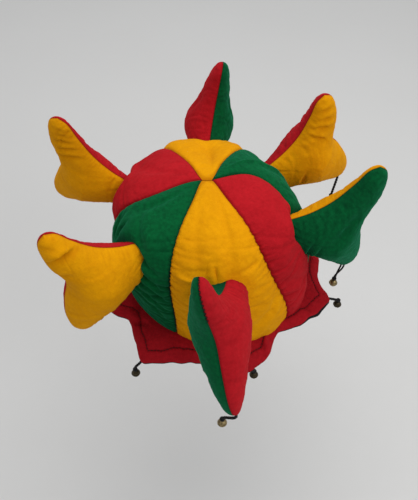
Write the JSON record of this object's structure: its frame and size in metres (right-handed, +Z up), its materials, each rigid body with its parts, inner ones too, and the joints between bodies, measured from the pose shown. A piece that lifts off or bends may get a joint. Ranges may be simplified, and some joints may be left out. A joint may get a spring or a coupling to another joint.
{
  "type": "jester hat",
  "caption": "Soft jester hat with a padded crown of coloured gores, stuffed two-coloured horns, a pointed brim with a dark lining, and small bells on short ties.",
  "frame": {"origin": "centre of the head opening, at the lower edge of the crown, where the hat sits on a head", "axes": "+Z up through the top of the crown; -Y to the front, towards the horn with the red left half and the brim's front points; +X to the wearer's left"},
  "size_m": [0.3905, 0.4392, 0.2846],
  "materials": {
    "yellow_velour": "matt short-pile velour, warm golden yellow",
    "red_velour": "matt short-pile velour, deep red",
    "green_velour": "matt short-pile velour, bottle green",
    "black_lining": "plain black woven lining",
    "black_cord": "black twisted cord with a slight sheen",
    "antique_brass": "antique brass, worn and slightly dull"
  },
  "bodies": {
    "root": {"gore_front": "yellow_velour", "gore_front_right": "red_velour", "gore_back_right": "green_velour", "gore_back": "yellow_velour", "gore_back_left": "red_velour", "gore_front_left": "green_velour", "horn_front_red": "red_velour", "horn_front_green": "green_velour", "horn_front_right_yellow": "yellow_velour", "horn_front_right_green": "green_velour", "horn_back_right_red": "red_velour", "horn_back_right_yellow": "yellow_velour", "horn_back_red": "red_velour", "horn_back_green": "green_velour", "horn_back_left_yellow": "yellow_velour", "horn_back_left_red": "red_velour", "horn_front_left_yellow": "yellow_velour", "horn_front_left_red": "red_velour", "brim": "red_velour", "brim_lining": "black_lining", "bell_horn_front": "antique_brass", "tie_horn_front": "black_cord", "bell_horn_front_right": "antique_brass", "tie_horn_front_right": "black_cord", "bell_horn_back_right": "antique_brass", "tie_horn_back_right": "black_cord", "bell_horn_back": "antique_brass", "tie_horn_back": "black_cord", "bell_horn_back_left": "antique_brass", "tie_horn_back_left": "black_cord", "bell_horn_front_left": "antique_brass", "tie_horn_front_left": "black_cord", "bell_brim_left": "antique_brass", "tie_brim_left": "black_cord", "bell_brim_front_left": "antique_brass", "tie_brim_front_left": "black_cord", "bell_brim_front_right": "antique_brass", "tie_brim_front_right": "black_cord", "bell_brim_right": "antique_brass", "tie_brim_right": "black_cord", "bell_brim_back_right": "antique_brass", "tie_brim_back_right": "black_cord", "bell_brim_back": "antique_brass", "tie_brim_back": "black_cord"}
  },
  "joints": []
}
